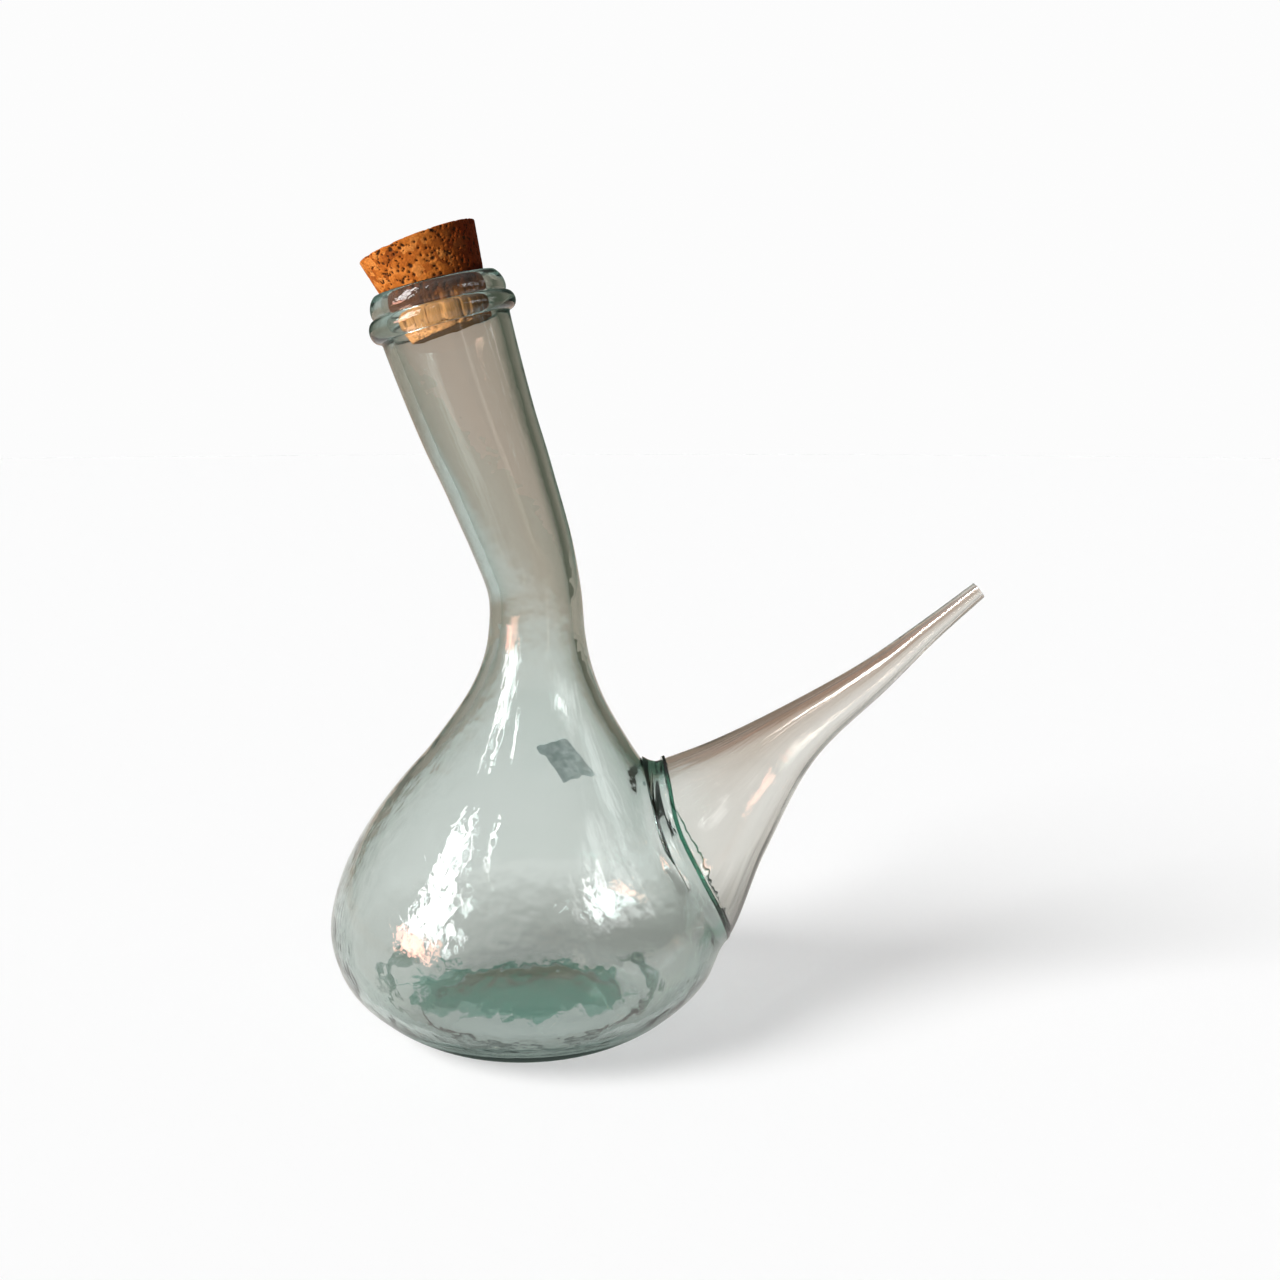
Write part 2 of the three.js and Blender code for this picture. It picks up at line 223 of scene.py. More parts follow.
# %% The bent axis
axis_line = MM * smooth_line([
    (0, 0), (0, 25), (0, 50), (1.9, 84), (3.3, 121), (2.4, 138), (-7.3, 169),
    (-14, 187.2), (-22.4, 214.1), (-25.9, 228), (-28.6, 239),
], 2000)
axis_run = np.concatenate([[0], np.cumsum(np.linalg.norm(np.diff(axis_line, axis=0), axis=1))])
axis_along = np.gradient(axis_line, axis=0)
axis_along /= np.linalg.norm(axis_along, axis=1)[:, None]


def bend(points):
    height = points[:, 2]
    x, z = (np.interp(height, axis_run, axis_line[:, k]) for k in (0, 1))
    tx, tz = (np.interp(height, axis_run, axis_along[:, k]) for k in (0, 1))
    below = np.minimum(height, 0)
    return np.stack([x + points[:, 0] * tz + AXIS_X, points[:, 1], z - points[:, 0] * tx + below], axis=1)


def places(piece):
    flat = np.empty(len(piece.data.vertices) * 3)
    piece.data.vertices.foreach_get("co", flat)
    return flat.reshape(-1, 3)


def put(piece, points):
    piece.data.vertices.foreach_set("co", np.ascontiguousarray(points).ravel())
    piece.data.update()


straight = places(body)
put(body, bend(straight))
print("bent from", round(straight[:, 2].max(), 4), "to", round(places(body)[:, 2].max(), 4), "m tall")

# %% [markdown]
# ## The spout's rings
# The spout is drawn out of a gob, so every section is round, but its axis and its width change together. Two edge
# lines, upper and lower, hold both: a ring stands between each pair of points. Its bore follows, drawn in by the
# wall, which thins towards the tip.

# %% The spout's rings
SPOUT_DEPTH_RATIO = 0.94
EDGE_STEPS = 400
ROOT_WALL, TIP_WALL, THINNING = 2.4, 1.4, 1.6
upper_edge = smooth_line([
    (30.5, 78), (40.5, 81.3), (56.4, 87.3), (76.1, 96.7), (104.5, 112.3), (122.8, 125), (138.9, 136.8)], EDGE_STEPS)
lower_edge = smooth_line([
    (50.6, 19.8), (60.4, 23.4), (74, 52.6), (89.8, 81.9), (112.6, 104.2), (128, 119.6), (142.2, 132.4)], EDGE_STEPS)


def spout_ring(share, inset, sides):
    at = share * (len(upper_edge) - 1)
    steps = np.arange(len(upper_edge))
    top = np.array([np.interp(at, steps, upper_edge[:, k]) for k in (0, 1)])
    bottom = np.array([np.interp(at, steps, lower_edge[:, k]) for k in (0, 1)])
    middle, half = (top + bottom) / 2, (top - bottom) / 2
    reach = np.linalg.norm(half)
    turn = np.linspace(0, 2 * math.pi, sides, endpoint=False)
    tall = (reach - inset) / reach * np.cos(turn)
    deep = (reach * SPOUT_DEPTH_RATIO - inset) * np.sin(turn)
    ring = np.stack([middle[0] + half[0] * tall, -deep, middle[1] + half[1] * tall], axis=1) * MM
    return ring + (AXIS_X, 0, 0)


def spout_wall(share):
    return ROOT_WALL + (TIP_WALL - ROOT_WALL) * min(1, THINNING * share)


depths = [round(1000 * np.ptp(spout_ring(share, 0, 64)[:, 1]), 1) for share in (0, 0.5, 1)]
print("spout", depths, "mm deep at root, middle and tip")

# %% [markdown]
# ## Rings to a tube
# A loft of rings is a rolled-up sheet: a grid is added with a row for each ring and a column for each side, its
# vertices go to the rings, and the two edges that meet are merged. Open ends are filled with one face each. The
# first tube is the spout's outer form, filled: the bottle's collar will be cut from it.

# %% Rolling a grid into a tube
SEAM_SIDES = 96
FORM_STEPS = 161


def rolled(name, rings, loop=False):
    rings = np.array(rings)
    sheet = np.concatenate([rings, rings[:, :1]], axis=1)
    if loop:
        sheet = np.concatenate([sheet, sheet[:1]], axis=0)
    fresh_start()
    bpy.ops.mesh.primitive_grid_add(
        x_subdivisions=sheet.shape[1] - 1, y_subdivisions=sheet.shape[0] - 1, size=1)
    piece = bpy.context.object
    piece.name = name
    put(piece, sheet.reshape(-1, 3))
    bpy.ops.object.mode_set(mode="EDIT")
    bpy.ops.mesh.select_all(action="SELECT")
    bpy.ops.mesh.remove_doubles(threshold=MERGE)
    if not loop:
        bpy.ops.mesh.select_all(action="DESELECT")
        bpy.ops.mesh.select_non_manifold()
        bpy.ops.mesh.edge_face_add()
    close_up()
    return piece


def spout_form(grow):
    return rolled("spout_form", [spout_ring(t, -grow, SEAM_SIDES) for t in np.linspace(0, 1, FORM_STEPS)])


spout_collar = spout_form(0)
report(spout_collar)

# %% [markdown]
# ## The line of the seam
# To take the spout, the hot bulb was drawn out into a short collar. The collar grows from the line in which the
# spout's outside meets the bulb, found by walking out along the spout until the bulb's wall is left behind.

# %% The line of the seam
WALK = np.linspace(0, 0.35, 900)
bulb_height, bulb_radius = outer_wall[:BULB_STEPS, 1], outer_wall[:BULB_STEPS, 0]


def eased(ring, times=4):
    for _ in range(times):
        ring = (np.roll(ring, 1, axis=0) + 2 * ring + np.roll(ring, -1, axis=0)) / 4
    return ring


def axis_beside(points):
    return np.interp(points[:, 2], axis_line[:, 1], axis_line[:, 0]) + AXIS_X


def outside_bulb(points):
    from_axis = np.hypot(points[:, 0] - axis_beside(points), points[:, 1])
    return from_axis > np.interp(points[:, 2], bulb_height, bulb_radius)


walk = np.array([spout_ring(t, 0, SEAM_SIDES) for t in WALK])
first_out = np.array([outside_bulb(ring) for ring in walk]).argmax(axis=0)
turns = np.arange(SEAM_SIDES)
seam = eased(walk[first_out, turns])
print("seam of", SEAM_SIDES, "points,", round(1000 * np.ptp(seam[:, 2])), "mm tall")

# %% [markdown]
# ## Directions at the seam
# The fillet between bulb and spout needs to know, at each point of the seam, which way each wall runs and which
# way leads off it. Cross products with the seam's own direction give them, turned to point away from its middle.

# %% Directions at the seam
LOOK_AHEAD = 8


def unit(vectors):
    return vectors / np.linalg.norm(vectors, axis=1)[:, None]


def outward(vectors):
    return vectors * np.sign((vectors * (seam - seam.mean(0))).sum(1))[:, None]


up_spout = unit(eased(walk[first_out + LOOK_AHEAD, turns] - walk[first_out, turns]))
seam_along = unit(np.roll(seam, -1, axis=0) - np.roll(seam, 1, axis=0))
from_axis = unit(np.stack([seam[:, 0] - axis_beside(seam), seam[:, 1], np.zeros(SEAM_SIDES)], axis=1))
lean = [np.interp(seam[:, 2], bulb_height, outer_normal[:BULB_STEPS, k]) for k in (0, 1)]
off_bulb = unit(from_axis * lean[0][:, None] + np.outer(lean[1], (0, 0, 1)))
down_bulb = outward(np.cross(seam_along, off_bulb))
off_spout = outward(np.cross(seam_along, up_spout))
corners = np.degrees(np.arccos((off_bulb * unit(off_spout)).sum(1)))
print("the two walls face", round(corners.min()), "to", round(corners.max()), "degrees apart")

# %% [markdown]
# ## The collar
# The collar is the first few millimetres of the spout's form, with a hollow fillet swept round its foot, and it
# ends where the weld begins. From the front the seam shows as one thin line, so the collar was trimmed nearly
# flat: its end is a gently bowed sheet, and everything left of that sheet is kept. Glass gathered in a lump above
# and below, and the fillet's width wanders as run glass does.

# %% The collar's trim and fillet
SEAM_FACING = np.array([0.94, 0.35])
HALF_ROOM = 0.03
TUCK_SPOUT, TUCK_BULB, TUCK_UNDER = 0.15 * MM, 0.35 * MM, 1.2 * MM
seam_line = MM * smooth_line([
    (40.6, 100), (41.9, 80.5), (43.6, 68), (50, 54), (57.4, 39), (61.5, 26.5), (63.5, 10)], 60)
turn = np.linspace(0, 2 * math.pi, SEAM_SIDES, endpoint=False)
from_top, from_foot = np.minimum(turn, 2 * math.pi - turn), turn - math.pi
lump = np.exp(-((from_top / 0.22) ** 2)) + 0.8 * np.exp(-((from_foot / 0.2) ** 2))
tail = MM * (4.6 + 0.8 * np.sin(3 * turn + 1) + 0.5 * np.sin(7 * turn))
rise = MM * (3.0 + 0.3 * np.sin(5 * turn + 2) + 1.2 * lump)
fill = MM * (0.25 + 0.1 * np.sin(4 * turn) + 0.3 * lump)


def left_of_seam(front, back):
    rings = []
    for y, shift in ((-HALF_ROOM, front), (HALF_ROOM, back)):
        line = seam_line + MM * shift * SEAM_FACING
        outline = np.vstack([line, [(-HALF_ROOM, line[-1][1]), (-HALF_ROOM, line[0][1])]])
        rings.append(np.stack([outline[:, 0] + AXIS_X, np.full(len(outline), y), outline[:, 1]], axis=1))
    return rolled("left_of_seam", rings)


fillet_rings = []
for i in range(SEAM_SIDES):
    out = off_bulb[i] + off_spout[i]
    start = seam[i] + rise[i] * up_spout[i] - TUCK_SPOUT * off_spout[i]
    end = seam[i] + tail[i] * down_bulb[i] - TUCK_BULB * off_bulb[i]
    fillet = rounding([start, seam[i] + fill[i] * out, end], 14)
    under = rounding([end, seam[i] - TUCK_UNDER * out, start], 6)[1:-1]
    fillet_rings.append(np.vstack([fillet, under]))
print("fillet", round(1000 * tail.min(), 1), "to", round(1000 * tail.max(), 1), "mm down the bulb")

# %% [markdown]
# ## Joining the collar's parts
# Modifiers that join and cut do what fire and shears do: the fillet is joined to the spout's form, the sheet
# trims them, and a slightly smaller bottle takes away what would lie inside the wall.

# %% The collar
COLLAR_ROOT = 1.2 * MM
FORM_SIDES = 96


def cut(piece, tool, operation="DIFFERENCE"):
    fresh_start()
    bpy.context.view_layer.objects.active = piece
    piece.select_set(True)
    modifier = piece.modifiers.new("cut", "BOOLEAN")
    modifier.operation = operation
    modifier.solver = "EXACT"
    modifier.object = tool
    bpy.ops.object.modifier_apply(modifier=modifier.name)
    bpy.data.objects.remove(tool)


def bottle_form(grow):
    side = outer_wall[:BULB_STEPS] + grow * outer_normal[:BULB_STEPS]
    outline = np.vstack([[(0, side[0][1])], side, [(0, side[-1][1])]])
    form = spun("bottle_form", outline, FORM_SIDES)
    put(form, bend(places(form)))
    return form


cut(spout_collar, rolled("fillet", fillet_rings, loop=True), "UNION")
cut(spout_collar, left_of_seam(0, 0), "INTERSECT")
cut(spout_collar, bottle_form(-COLLAR_ROOT))
report(spout_collar)

# %% [markdown]
# ## Skin places
# Both sides of a blown wall carry the same waves, because they were blown together. So each point of the bottle
# keeps the place on the outer skin that it lies on or opposite to, found on the second outline while the bottle
# is still whole. A search tree finds the nearest of many points.


# %% Skin places
def near(points):
    tree = kdtree.KDTree(len(points))
    for i, p in enumerate(points):
        tree.insert(p, i)
    tree.balance()
    return tree


on_outline = near([(r, 0, s) for r, s in bottle_outline])
step_of = [on_outline.find((math.hypot(x, y), 0, s))[1] for x, y, s in straight]
twin = skin_outline[step_of]
round_turn = np.arctan2(straight[:, 1], straight[:, 0])
skin = np.stack([twin[:, 0] * np.cos(round_turn), twin[:, 0] * np.sin(round_turn), twin[:, 1]], axis=1)
before = near(places(body))
print("skin places of", len(skin), "points")

# %% [markdown]
# ## Piercing the bottle
# The collar is joined to the bottle, and both are pierced where the spout opens. The cutter is the spout's own
# bore, run on into the bulb, so that the hole and the bore line up. The edge left inside is cut round by a swept
# tool, as fire would leave it.

# %% Piercing the bottle
TUBE_SIDES, TUBE_STEPS = 64, 121
INWARD = np.array([-18, 0, -6]) * MM
BULB_WALL, COLLAR_WALL = 2.5 * MM, 2.3 * MM
EDGE_REACH, PROUD, BACKING = 4.5 * MM, 0.02 * MM, 2 * MM
bore_rings = [spout_ring(t, spout_wall(t), TUBE_SIDES) for t in np.linspace(0, 1, TUBE_STEPS)]


def spout_bore():
    past = bore_rings[-1] + (bore_rings[-1].mean(0) - bore_rings[-2].mean(0)) * 3
    return rolled("spout_bore", [bore_rings[0] + INWARD, *bore_rings, past])


def rounded_edge():
    rings = []
    for n1, n2, p, down, up in zip(off_bulb, off_spout, seam, down_bulb, up_spout):
        w1, w2, c = BULB_WALL, COLLAR_WALL, n1 @ n2
        corner = p + ((c * w2 - w1) * n1 + (c * w1 - w2) * n2) / (1 - c * c)
        arc = rounding([corner + EDGE_REACH * down + PROUD * n1, corner, corner + EDGE_REACH * up + PROUD * n2], 12)
        back = [arc[-1] - BACKING * n2, corner - BACKING * (n1 + n2), arc[0] - BACKING * n1]
        rings.append(np.vstack([arc, *back]))
    return rolled("rounded_edge", rings, loop=True)


cut(body, spout_collar, "UNION")
cut(body, spout_bore())
cut(body, rounded_edge())
report(body)

# %% [markdown]
# ## Evening out the hole
# Cutting leaves slivers, which glass would show as creases. Near the hole the faces are cut into triangles and
# their corners smoothed a few times. The flat end that meets the weld is left alone, so the joint stays true.

# %% Evening out the hole
HOLE_REACH = 9 * MM
END_MARGIN = 0.5 * MM
on_seam = near(seam)


def even_out(piece):
    points = places(piece)
    sheet_x = np.interp(points[:, 2], seam_line[::-1, 1], seam_line[::-1, 0]) + AXIS_X
    by_hole = np.array([on_seam.find(p)[2] for p in points]) < HOLE_REACH
    fresh_start()
    bpy.context.view_layer.objects.active = piece
    bpy.ops.object.mode_set(mode="EDIT")
    bpy.ops.mesh.select_mode(type="VERT")
    bpy.ops.mesh.select_all(action="DESELECT")
    bpy.ops.object.mode_set(mode="OBJECT")
    piece.data.vertices.foreach_set("select", by_hole & (points[:, 0] < sheet_x - END_MARGIN))
    bpy.ops.object.mode_set(mode="EDIT")
    bpy.ops.mesh.quads_convert_to_tris(quad_method="BEAUTY", ngon_method="BEAUTY")
    bpy.ops.mesh.vertices_smooth(factor=0.5, repeat=6)
    close_up()


even_out(body)
report(body)

# %% [markdown]
# ## Marks for the finish
# Three marks are kept on the bottle's points: the skin place, how freely the glass was blown, which falls to
# nothing at the seam, and where dark glass pooled at the seam's two ends.

# %% Marks for the finish
BLOWN_FROM, BLOWN_OVER = 6 * MM, 8 * MM
POOL_ABOVE, POOL_BELOW = 10 * MM, 6 * MM


def keep_attribute(piece, name, kind, values):
    layer = piece.data.attributes.new(name, kind, "POINT")
    field = "vector" if kind == "FLOAT_VECTOR" else "value"
    layer.data.foreach_set(field, np.ascontiguousarray(values).ravel())


def pool(end, reach):
    return np.exp(-((np.linalg.norm(places(body) - end, axis=1) / reach) ** 2))


found = [before.find(p)[1] for p in places(body)]
from_seam = np.array([on_seam.find(p)[2] for p in places(body)])
seam_top, seam_foot = seam[seam[:, 2].argmax()], seam[seam[:, 2].argmin()]
keep_attribute(body, "skin", "FLOAT_VECTOR", skin[found])
keep_attribute(body, "blown", "FLOAT", np.clip((from_seam - BLOWN_FROM) / BLOWN_OVER, 0, 1))
keep_attribute(body, "pooled", "FLOAT", pool(seam_top, POOL_ABOVE) + pool(seam_foot, POOL_BELOW))
print("points within a wall of the seam:", int((from_seam < BULB_WALL).sum()))

# %% [markdown]
# ## The weld
# Where the two glasses were pressed together a thin ring of darker green was left. It is a slice of the spout's
# form, 1.4 mm thick in front and half a millimetre behind, and stands proud of it at its top and bottom, where
# the glass gathered. A hair's gap keeps it clear of its neighbours.

# %% The weld
HAIR = 0.05
WELD_THICKNESS = np.array([1.4, 0.5])
weld = spout_form(0.2 + 1.2 * lump)
cut(weld, left_of_seam(*WELD_THICKNESS), "INTERSECT")
cut(weld, left_of_seam(HAIR, HAIR))
weld.name = "spout_weld_visual"
cut(weld, spout_bore())
report(weld)

# %% [markdown]
# ## The spout
# The outside and the bore are one closed skin that turns over at the tip. Its root is cut by the form that ends
# the weld. Each point keeps its place round and along the spout, because a drawn tube carries its waves along its
# length.

# %% The spout
MARK_SIDES, MARK_STEPS = 256, 201
outside = [spout_ring(t, 0, TUBE_SIDES) for t in np.linspace(0, 1, TUBE_STEPS)]
spout = rolled("spout_visual", [*outside, *bore_rings[::-1]], loop=True)
cut(spout, left_of_seam(*WELD_THICKNESS + HAIR))
shares, ring_turn = np.linspace(0, 1, MARK_STEPS), np.linspace(0, 2 * math.pi, MARK_SIDES, endpoint=False)
marks = np.array([(math.cos(a), math.sin(a), share) for share in shares for a in ring_turn])
on_rings = near(np.concatenate([
    spout_ring(t, wall_in * spout_wall(t), MARK_SIDES) for wall_in in (0, 1) for t in shares]))
nearest = [on_rings.find(p)[1] for p in places(spout)]
keep_attribute(spout, "drawn", "FLOAT_VECTOR", np.vstack([marks, marks])[nearest])
report(spout)

# %% [markdown]
# ## The cork
# The stopper is a cone of pressed granules. A cone primitive gets its rims bevelled, and a voxel remesh gives it
# an even skin that pits can be pressed into.

# %% The cork's cone
CORK_SEAT = Vector((AXIS_X - 20.7 * MM, 0, 213.5 * MM))
CORK_LEAN = math.radians(21)
CORK_LENGTH = 26.9 * MM
fresh_start()
bpy.ops.mesh.primitive_cone_add(
    vertices=96, radius1=12.6 * MM, radius2=17.95 * MM, depth=CORK_LENGTH, location=(0, 0, CORK_LENGTH / 2))
cork = bpy.context.object
cork.name = "cork_stopper_visual"
bpy.ops.object.transform_apply(location=True, rotation=True, scale=True)
bpy.ops.object.mode_set(mode="EDIT")
bpy.ops.mesh.select_mode(type="EDGE")
bpy.ops.mesh.select_all(action="DESELECT")
bpy.ops.object.mode_set(mode="OBJECT")
for edge in cork.data.edges:
    a, b = (cork.data.vertices[i].co for i in edge.vertices)
    edge.select = abs(a.z - b.z) < MERGE
bpy.ops.object.mode_set(mode="EDIT")
bpy.ops.mesh.bevel(offset=0.4 * MM, segments=2)
bpy.ops.object.mode_set(mode="OBJECT")
cork.data.remesh_voxel_size = 0.36 * MM
bpy.ops.object.voxel_remesh()
report(cork)

# %% [markdown]
# ## The cork's pits
# Pits are where crumbs fell out: mostly small, a few larger, and stretched in any direction. Each is pressed in
# along the normals, and its depth is kept as an attribute, so that the finish can paint shade into it. Then the
# cork is leaned over and set on its seat in the mouth.

# %% The cork's pits
PITS = 1500
PIT_DEPTH = 0.4 * MM
SMALL_SHARE = 0.85
rng = np.random.default_rng(7)
bark_skin = places(cork)
normals = np.array([v.normal for v in cork.data.vertices])
on_bark = near(bark_skin)
pit = np.zeros(len(bark_skin))
for centre in bark_skin[rng.choice(len(bark_skin), PITS, replace=False)]:
    reach = MM * (rng.uniform(0.35, 0.65) if rng.random() < SMALL_SHARE else rng.uniform(0.65, 1.1))
    stretch, grain_way = rng.uniform(0.0, 0.75), rng.normal(size=3)
    grain_way /= np.linalg.norm(grain_way)
    for point, i, d in on_bark.find_range(centre, reach):
        along = abs(np.dot(np.array(point) - centre, grain_way))
        d = math.sqrt(d * d + 3 * stretch * along * along)
        pit[i] = max(pit[i], (1 - min(1, d / reach) ** 2))
put(cork, bark_skin - normals * (PIT_DEPTH * pit)[:, None])
keep_attribute(cork, "pit", "FLOAT", pit)
cork.rotation_euler = (0, -CORK_LEAN, 0)
cork.location = CORK_SEAT
fresh_start()
cork.select_set(True)
bpy.context.view_layer.objects.active = cork
bpy.ops.object.transform_apply(location=True, rotation=True, scale=True)
print("pitted share of the cork:", round(float((pit > 0).mean()), 2))

# %% [markdown]
# ## The sticker
# What is left of a paper sticker clings to the back of the bulb and shows through the glass. It is a grid, a
# little wider below, with a step torn out of its left side, a notch below and small waves along its edges. Each
# point is laid along the wall, and a solidify modifier gives the thickness of paper.

# %% The sticker's torn outline
STICKER_PLACE = np.array([12, 39, 75]) * MM
STICKER_TURN = math.radians(26)
HALF_WIDTH, NARROWING, HALF_LENGTH = 7.1, 0.6, 9.6
fresh_start()
bpy.ops.mesh.primitive_grid_add(x_subdivisions=24, y_subdivisions=36, size=1)
sticker = bpy.context.object
sticker.name = "paper_sticker_visual"
sheet = places(sticker)
across, up = sheet[:, 0] * 2, sheet[:, 1] * 2
step = 0.13 * np.clip((0.62 - up) / 0.12, 0, 1) * np.clip((up + 1.1) / 0.5, 0, 1)
torn = 0.02 * np.sin(9 * up + 1) + 0.012 * np.sin(31 * up) - np.where(across < 0, step, 0)
notch = np.where(up < 0, 0.10 * np.exp(-((across - 0.3) / 0.2) ** 2), 0.05 * np.clip(np.abs(across) - 0.7, 0, 1))
frayed = 0.02 * np.sin(8 * across + 2) + 0.008 * np.sin(27 * across) - notch
wide = (HALF_WIDTH - NARROWING * up) * across * (1 + torn) * MM
long = HALF_LENGTH * up * (1 + frayed) * MM
print("sticker", round(1000 * np.ptp(wide), 1), "by", round(1000 * np.ptp(long), 1), "mm")

# %% The sticker on the wall
LIFT = 0.32 * MM
PAPER = 0.2 * MM
sideways = wide * math.cos(STICKER_TURN) - long * math.sin(STICKER_TURN)
uphill = wide * math.sin(STICKER_TURN) + long * math.cos(STICKER_TURN)
run = np.concatenate([[0], np.cumsum(np.linalg.norm(np.diff(outer_wall, axis=0), axis=1))])
run_here = np.interp(STICKER_PLACE[2], bulb_height, run[:BULB_STEPS]) + uphill
radius, height = (np.interp(run_here, run, outer_wall[:, k]) for k in (0, 1))
nr, nz = (np.interp(run_here, run, outer_normal[:, k]) for k in (0, 1))
angle = math.atan2(STICKER_PLACE[0], STICKER_PLACE[1]) + sideways / radius
radius, height = radius + LIFT * nr, height + LIFT * nz
put(sticker, bend(np.stack([radius * np.sin(angle), radius * np.cos(angle), height], axis=1)))
paper = sticker.modifiers.new("paper", "SOLIDIFY")
paper.thickness = PAPER
paper.offset = 1
bpy.ops.object.modifier_apply(modifier=paper.name)
report(sticker)

# %% [markdown]
# ## Writing finishes as sums
# A finish is a network of nodes, but it reads better as an expression. A small class wraps a socket: arithmetic
# on it adds Math nodes, one method adds any other node, and a few short ones name the nodes that are used most.


# %% Sockets that do sums
class Wire:
    def __init__(self, tree, socket=None):
        self.tree, self.socket = tree, socket

    def node(self, kind, inputs=None, out=0, **settings):
        made = self.tree.nodes.new(kind)
        stops = settings.pop("stops", None)
        for name, value in settings.items():
            setattr(made, name, value)
        if stops:
            ramp = made.color_ramp.elements
            while len(ramp) < len(stops):
                ramp.new(0.5)
            for stop, (place, colour) in zip(ramp, stops):
                stop.position, stop.color = place, (*colour, 1)
        for name, value in (inputs or {}).items():
            if isinstance(value, Wire):
                self.tree.links.new(value.socket, made.inputs[name])
            else:
                made.inputs[name].default_value = value
        return Wire(self.tree, made.outputs[out]) if made.outputs else None

    def also(self, out):
        return Wire(self.tree, self.socket.node.outputs[out])

    def math(self, operation, other=0.0):
        return self.node("ShaderNodeMath", {0: self, 1: other}, operation=operation)

    def __add__(self, other):
        return self.math("ADD", other)

    def __sub__(self, other):
        return self.math("SUBTRACT", other)

    def __rsub__(self, other):
        return self.node("ShaderNodeMath", {0: other, 1: self}, operation="SUBTRACT")

    def __mul__(self, other):
        return self.math("MULTIPLY", other)

    def __abs__(self):
        return self.math("ABSOLUTE")

    __radd__ = __add__
    __rmul__ = __mul__

    def fade(self, start, end, low=0.0, high=1.0, **settings):
        return self.node("ShaderNodeMapRange", {0: self, 1: start, 2: end, 3: low, 4: high}, **settings)

    def blend(self, a, b):
        return self.node("ShaderNodeMix", {0: self, 6: a, 7: b}, out=2, data_type="RGBA")

    def parts(self):
        x = self.node("ShaderNodeSeparateXYZ", {0: self})
        return x, x.also(1), x.also(2)

    def vector(self, operation, other=(0, 0, 0), out="Vector"):
        return self.node("ShaderNodeVectorMath", {0: self, 1: other}, out=out, operation=operation)

    def noise(self, scale, detail=1.0):
        return self.node(
            "ShaderNodeTexNoise", {"Vector": self, "Scale": scale, "Detail": detail, "Roughness": 0.45})

    def grain(self, scale, detail, out=0):
        return self.node("ShaderNodeTexNoise", {"Vector": self, "Scale": scale, "Detail": detail}, out=out)


def finish(name):
    material = bpy.data.materials.new(name)
    material.use_nodes = True
    material.node_tree.nodes.clear()
    return material, Wire(material.node_tree)


def count(material):
    print(material.name, "finish of", len(material.node_tree.nodes), "nodes")


# %% [markdown]
# ## Glass
# Hand-blown glass is smooth but never flat: slow waves bend what is seen through it and break up reflections. Its
# colour is in its depth, so the tint is an absorption that grows with the path of the light. A thin wall has dark
# green edges, where the light runs along it: a Layer Weight node finds them, and a power narrows them.

# %% Glass for all three finishes
CLEAR = (1, 1, 1, 1)
GLASS_IOR = 1.5


def glass(w, absorb, density, height, edge, narrow, tint=CLEAR, much=1.0):
    normal = w.node("ShaderNodeBump", {"Height": height, "Strength": 1.0, "Distance": MM})
    grazing = w.node("ShaderNodeLayerWeight", {"Blend": 0.5}, out="Facing").math("POWER", narrow)
    surface = w.node("ShaderNodeBsdfPrincipled", {
        "Base Color": (much * grazing).blend(tint, (*edge, 1)), "Roughness": 0.0, "IOR": GLASS_IOR,
        "Transmission Weight": 1.0, "Normal": normal})
    depth = w.node("ShaderNodeVolumeAbsorption", {"Color": (*absorb, 1), "Density": density})
    w.node("ShaderNodeOutputMaterial", {"Surface": surface, "Volume": depth})


# %% [markdown]
# ## Green in the bottom and at the seam
# The first gather of glass shows as a ragged oval of deeper green in the bottom, with dark marks at its two
# sides, and green pooled where the spout was fused on. The oval is the length of a place that is measured in its
# own half sizes, made ragged by noise.

# %% Green in the bottom and at the seam
OVAL_X, OVAL_Y = AXIS_X - 3 * MM, 8 * MM
OVAL_WIDE, OVAL_DEEP = 33 * MM, 25 * MM
BOTTOM_TOP = 13 * MM
green_glass, w = finish("green_glass")
place = w.node("ShaderNodeTexCoord", out="Object")
x_here, _, height_here = place.parts()
in_bottom = height_here.math("LESS_THAN", BOTTOM_TOP)
oval = w.node("ShaderNodeMapping", {
    "Vector": place, "Location": (-OVAL_X / OVAL_WIDE, -OVAL_Y / OVAL_DEEP, 0),
    "Scale": (1 / OVAL_WIDE, 1 / OVAL_DEEP, 0)}).vector("LENGTH", out="Value")
ragged = oval + 0.9 * (place.noise(70.0, 4.0) - 0.5) + 0.5 * (place.noise(300.0, 3.0) - 0.5)
gather = ragged.fade(1.03, 0.97) * in_bottom
rim = abs(oval + 0.35 * (place.noise(90.0, 3.0) - 0.5) - 1.36).fade(0.07, 0.03)
rim = rim * abs(x_here - OVAL_X).fade(30 * MM, 40 * MM)
tint = (0.85 * rim * in_bottom).blend(CLEAR, (0.10, 0.24, 0.19, 1))
tint = gather.blend(tint, (0.20, 0.50, 0.40, 1))
pooled = w.node("ShaderNodeAttribute", out="Fac", attribute_name="pooled")
tint = pooled.math("MINIMUM", 1.0).blend(tint, (0.14, 0.46, 0.35, 1))
count(green_glass)
